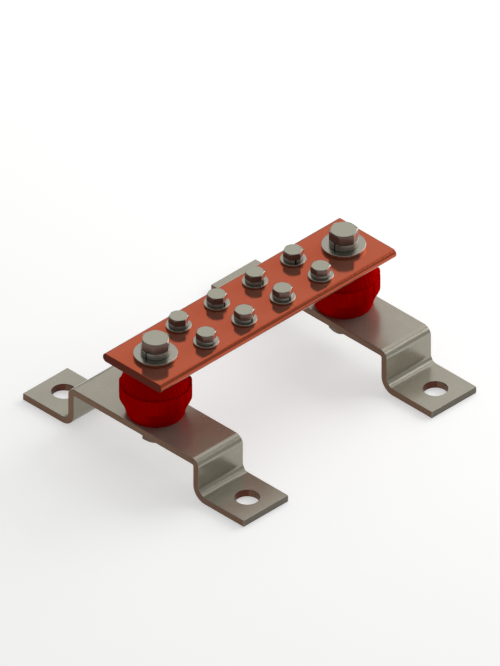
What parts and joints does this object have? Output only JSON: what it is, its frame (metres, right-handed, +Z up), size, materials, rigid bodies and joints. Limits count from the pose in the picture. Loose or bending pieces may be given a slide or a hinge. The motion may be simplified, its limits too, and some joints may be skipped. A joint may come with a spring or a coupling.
{
  "type": "earth terminal bar",
  "caption": "Flat copper earthing bar with rows of hexagon screw terminals, standing on red barrel insulators and bent steel strap brackets.",
  "frame": {"origin": "middle of the footprint, at the underside of the feet", "axes": "+X along the copper bar, +Y along the brackets, +Z up, away from the wall or floor it is fixed to"},
  "size_m": [0.2044, 0.188, 0.0831],
  "materials": {
    "copper": "rolled copper, satin with a soft mirror",
    "strap_steel": "bright zinc plated strap, soft mirror",
    "red_moulding": "glossy red glass-filled polyester",
    "insert_brass": "turned brass",
    "washer_steel": "zinc plated, tumbled",
    "spring_steel": "zinc plated spring steel",
    "screw_steel": "zinc plated, cold headed"
  },
  "bodies": {
    "root": {"copper_bar": "copper", "bracket_left": "strap_steel", "insulator_left": "red_moulding", "insert_left_bottom": "insert_brass", "insert_left_top": "insert_brass", "bar_flat_washer_left": "washer_steel", "bar_spring_washer_left": "spring_steel", "bar_bolt_left": "screw_steel", "bracket_flat_washer_left": "washer_steel", "bracket_spring_washer_left": "spring_steel", "bracket_bolt_left": "screw_steel", "bracket_right": "strap_steel", "insulator_right": "red_moulding", "insert_right_bottom": "insert_brass", "insert_right_top": "insert_brass", "bar_flat_washer_right": "washer_steel", "bar_spring_washer_right": "spring_steel", "bar_bolt_right": "screw_steel", "bracket_flat_washer_right": "washer_steel", "bracket_spring_washer_right": "spring_steel", "bracket_bolt_right": "screw_steel", "terminal_flat_washer_1": "washer_steel", "terminal_spring_washer_1": "spring_steel", "terminal_screw_1": "screw_steel", "terminal_flat_washer_2": "washer_steel", "terminal_spring_washer_2": "spring_steel", "terminal_screw_2": "screw_steel", "terminal_flat_washer_3": "washer_steel", "terminal_spring_washer_3": "spring_steel", "terminal_screw_3": "screw_steel", "terminal_flat_washer_4": "washer_steel", "terminal_spring_washer_4": "spring_steel", "terminal_screw_4": "screw_steel", "terminal_flat_washer_5": "washer_steel", "terminal_spring_washer_5": "spring_steel", "terminal_screw_5": "screw_steel", "terminal_flat_washer_6": "washer_steel", "terminal_spring_washer_6": "spring_steel", "terminal_screw_6": "screw_steel", "terminal_flat_washer_7": "washer_steel", "terminal_spring_washer_7": "spring_steel", "terminal_screw_7": "screw_steel", "terminal_flat_washer_8": "washer_steel", "terminal_spring_washer_8": "spring_steel", "terminal_screw_8": "screw_steel"}
  },
  "joints": []
}
